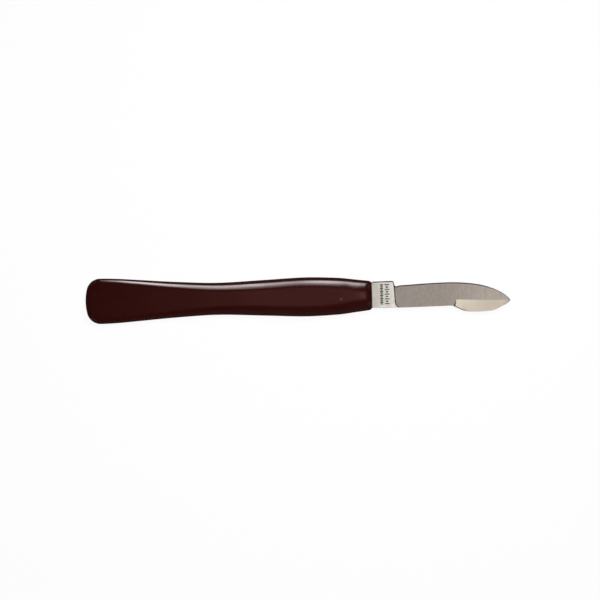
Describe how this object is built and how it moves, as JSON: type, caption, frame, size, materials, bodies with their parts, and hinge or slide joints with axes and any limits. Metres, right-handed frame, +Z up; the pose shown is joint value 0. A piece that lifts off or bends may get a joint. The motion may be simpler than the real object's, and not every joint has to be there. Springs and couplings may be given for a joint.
{
  "type": "lino cutting knife",
  "caption": "Fixed-blade craft knife: lacquered one-piece wooden handle, pinned and cemented tang, ground steel blade with a curved spine and a honed bevel at the tip.",
  "frame": {"origin": "under the middle of the knife's bounding box, on the surface that it lies on", "axes": "+X along the knife to the blade tip, +Y to the spine side, +Z up out of the broad side"},
  "size_m": [0.165, 0.0177, 0.009],
  "materials": {
    "lacquered_wood": "smooth dark maroon-brown gloss lacquer over close-grained hardwood",
    "blade_steel": "satin ricasso, finely ground face with cross-wise lines, brighter honed bevel",
    "pin_steel": "plain drawn wire, sealed under the lacquer",
    "cement": "cured dark brown cutler's resin cement"
  },
  "bodies": {
    "root": {"handle": "lacquered_wood", "blade": "blade_steel", "tang_pin": "pin_steel", "tang_cement": "cement"}
  },
  "joints": []
}
